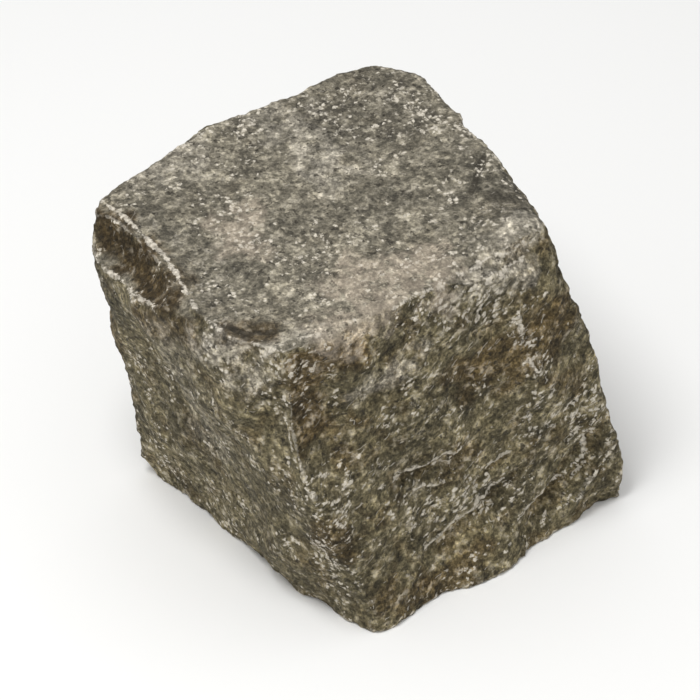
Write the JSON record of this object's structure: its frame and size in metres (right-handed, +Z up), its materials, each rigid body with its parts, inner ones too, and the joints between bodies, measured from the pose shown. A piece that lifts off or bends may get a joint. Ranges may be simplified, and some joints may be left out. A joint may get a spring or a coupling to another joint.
{
  "type": "basalt cobblestone",
  "caption": "Hewn basalt paving sett: a rough cube with split, uneven sides and a smoother worn head, standing on its flat foot.",
  "frame": {"origin": "on the ground, at the middle of the stone's outline", "axes": "+Z up through the worn head, -Y towards the front side"},
  "size_m": [0.1214, 0.11, 0.0944],
  "materials": {
    "basalt": "rough split rock"
  },
  "bodies": {
    "root": {"cobblestone": "basalt"}
  },
  "joints": []
}
